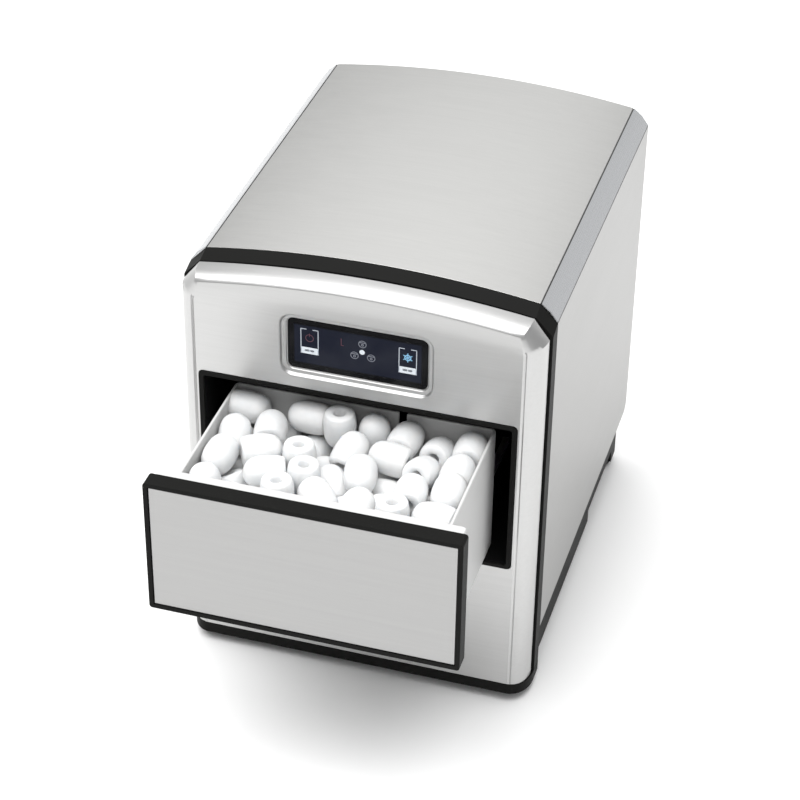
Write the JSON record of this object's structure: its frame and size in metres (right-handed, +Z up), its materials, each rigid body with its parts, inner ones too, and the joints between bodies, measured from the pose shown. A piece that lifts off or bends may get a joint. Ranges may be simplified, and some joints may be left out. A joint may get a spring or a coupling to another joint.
{
  "type": "ice maker",
  "caption": "Countertop ice maker with a crowned stainless cabinet, a sunken touch display and a pull-out ice drawer below it.",
  "frame": {"origin": "under the middle of the bounding box with the drawer pulled out, on the plane that the feet stand on", "axes": "+Z up, -Y towards the front (the drawer opens along -Y), +X to the right seen from the front"},
  "size_m": [0.285, 0.49, 0.363],
  "materials": {
    "stainless": "brushed lengthwise, satin",
    "bright_trim": "satin bright strip",
    "black_plastic": "fine matt grain",
    "cavity_plastic": "matt black",
    "white_plastic": "semi-matt moulded",
    "grey_plastic": "semi-matt moulded",
    "rubber": "matt black rubber",
    "black_glass": "gloss black with printed touch keys",
    "copper": "drawn copper tube",
    "aluminium_fins": "mill finish",
    "black_enamel": "semi-gloss enamel",
    "circuit_board": "solder mask",
    "zinc_steel": "zinc plated"
  },
  "bodies": {
    "cabinet": {"roof_panel": "stainless", "side_panel_left": "stainless", "side_panel_right": "stainless", "rear_panel": "stainless", "front_fascia": "stainless", "corner_trim_left": "bright_trim", "corner_trim_right": "bright_trim", "front_hoop": "black_plastic", "drawer_surround": "black_plastic", "base_pan": "black_plastic", "display_housing": "black_plastic", "water_pump": "black_plastic", "drain_spout": "black_plastic", "cord_gland": "black_plastic", "fan_shroud": "black_plastic", "ice_sensor": "black_plastic", "drawer_liner": "cavity_plastic", "chamber_side_left": "white_plastic", "chamber_side_right": "white_plastic", "ice_ramp": "white_plastic", "water_tank": "white_plastic", "fill_hose": "white_plastic", "runner_left": "grey_plastic", "runner_right": "grey_plastic", "foot_front_left": "rubber", "foot_front_right": "rubber", "foot_rear_left": "rubber", "foot_rear_right": "rubber", "compressor_mount_1": "rubber", "compressor_mount_2": "rubber", "compressor_mount_3": "rubber", "display_window": "black_glass", "evaporator": "copper", "evaporator_coil": "copper", "filter_drier": "copper", "discharge_pipe": "copper", "suction_pipe": "copper", "capillary_tube": "copper", "condenser": "aluminium_fins", "compressor": "black_enamel", "display_board": "circuit_board", "control_board": "circuit_board", "rear_screw_1": "zinc_steel", "rear_screw_2": "zinc_steel", "rear_screw_3": "zinc_steel", "rear_screw_4": "zinc_steel", "tray_motor": "zinc_steel", "fan_motor": "zinc_steel", "hot_gas_valve": "zinc_steel"},
    "drawer": {"drawer_frame": "black_plastic", "drawer_skin": "stainless", "drawer_inner_panel": "white_plastic", "ice_bin": "white_plastic", "drawer_rail_left": "grey_plastic", "drawer_rail_right": "grey_plastic"},
    "tray": {"water_tray": "white_plastic"},
    "pusher": {"ice_pusher": "grey_plastic"},
    "fan": {"fan_blades": "black_plastic"},
    "float": {"level_float": "grey_plastic"},
    "drain_plug": {"drain_cap": "rubber"}
  },
  "joints": [
    {"name": "drawer_slide", "type": "slide", "parent": "cabinet", "child": "drawer", "axis": [0, -1, 0], "range_m": [-0.129, 0]},
    {"name": "tray_tilt", "type": "hinge", "parent": "cabinet", "child": "tray", "pos_m": [0, 0.1153, 0.3138], "axis": [1, 0, 0], "range_deg": [0, 65]},
    {"name": "pusher_slide", "type": "slide", "parent": "cabinet", "child": "pusher", "axis": [0, 1, 0], "range_m": [0, 0.06]},
    {"name": "fan_spin", "type": "hinge", "parent": "cabinet", "child": "fan", "pos_m": [0.061, 0.195, 0.1235], "axis": [0, 1, 0], "continuous": true},
    {"name": "float_rise", "type": "slide", "parent": "cabinet", "child": "float", "axis": [0, 0, 1], "range_m": [0, 0.03]},
    {"name": "drain_cap_pull", "type": "slide", "parent": "cabinet", "child": "drain_plug", "axis": [0, 1, 0], "range_m": [0, 0.02]}
  ],
  "couplings": [
    {"joint": "pusher_slide", "follows": "tray_tilt", "m_per_rad": 0.0528}
  ]
}
